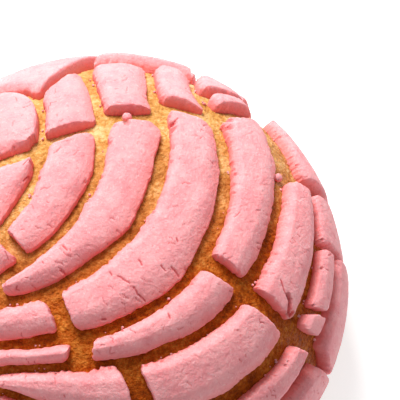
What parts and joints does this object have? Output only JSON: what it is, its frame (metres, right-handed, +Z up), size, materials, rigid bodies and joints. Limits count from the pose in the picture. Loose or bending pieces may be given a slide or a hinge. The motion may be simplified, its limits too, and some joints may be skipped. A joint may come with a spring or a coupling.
{
  "type": "concha sweet bun",
  "caption": "Round domed sweet bun under a pink sugar paste, scored in curved rings round an off-centre whorl and split across into separate tiles.",
  "frame": {"origin": "middle of the flat base", "axes": "+Z up out of the base; -Y is the side nearest the viewer in the picture, so +X is the picture's right"},
  "size_m": [0.1105, 0.1102, 0.0552],
  "materials": {
    "bread_crust": "baked golden crust with a slight sheen",
    "sugar_paste": "matt pink sugar paste"
  },
  "bodies": {
    "root": {"bread": "bread_crust", "paste_core_1": "sugar_paste", "paste_core_2": "sugar_paste", "paste_core_3": "sugar_paste", "paste_core_4": "sugar_paste", "paste_crest_1": "sugar_paste", "paste_eye_1": "sugar_paste", "paste_eye_2": "sugar_paste", "paste_front_1": "sugar_paste", "paste_front_2": "sugar_paste", "paste_inner_1": "sugar_paste", "paste_inner_2": "sugar_paste", "paste_lip_1": "sugar_paste", "paste_lip_2": "sugar_paste", "paste_middle_1": "sugar_paste", "paste_middle_2": "sugar_paste", "paste_middle_3": "sugar_paste", "paste_middle_4": "sugar_paste", "paste_middle_5": "sugar_paste", "paste_north_1": "sugar_paste", "paste_outer_1": "sugar_paste", "paste_outer_2": "sugar_paste", "paste_outer_3": "sugar_paste", "paste_outer_4": "sugar_paste", "paste_outer_5": "sugar_paste", "paste_outer_6": "sugar_paste", "paste_rim_1": "sugar_paste", "paste_rim_2": "sugar_paste", "paste_rim_3": "sugar_paste", "paste_shell_1": "sugar_paste", "paste_shell_2": "sugar_paste", "paste_shell_3": "sugar_paste", "paste_shell_4": "sugar_paste", "paste_skirt_01": "sugar_paste", "paste_skirt_02": "sugar_paste", "paste_skirt_03": "sugar_paste", "paste_skirt_04": "sugar_paste", "paste_skirt_05": "sugar_paste", "paste_skirt_06": "sugar_paste", "paste_skirt_07": "sugar_paste", "paste_skirt_08": "sugar_paste", "paste_skirt_09": "sugar_paste", "paste_skirt_10": "sugar_paste", "paste_skirt_11": "sugar_paste", "paste_skirt_12": "sugar_paste", "paste_skirt_13": "sugar_paste", "paste_skirt_14": "sugar_paste", "paste_west_1": "sugar_paste", "paste_west_2": "sugar_paste", "paste_west_3": "sugar_paste", "paste_wing_1": "sugar_paste"}
  },
  "joints": []
}
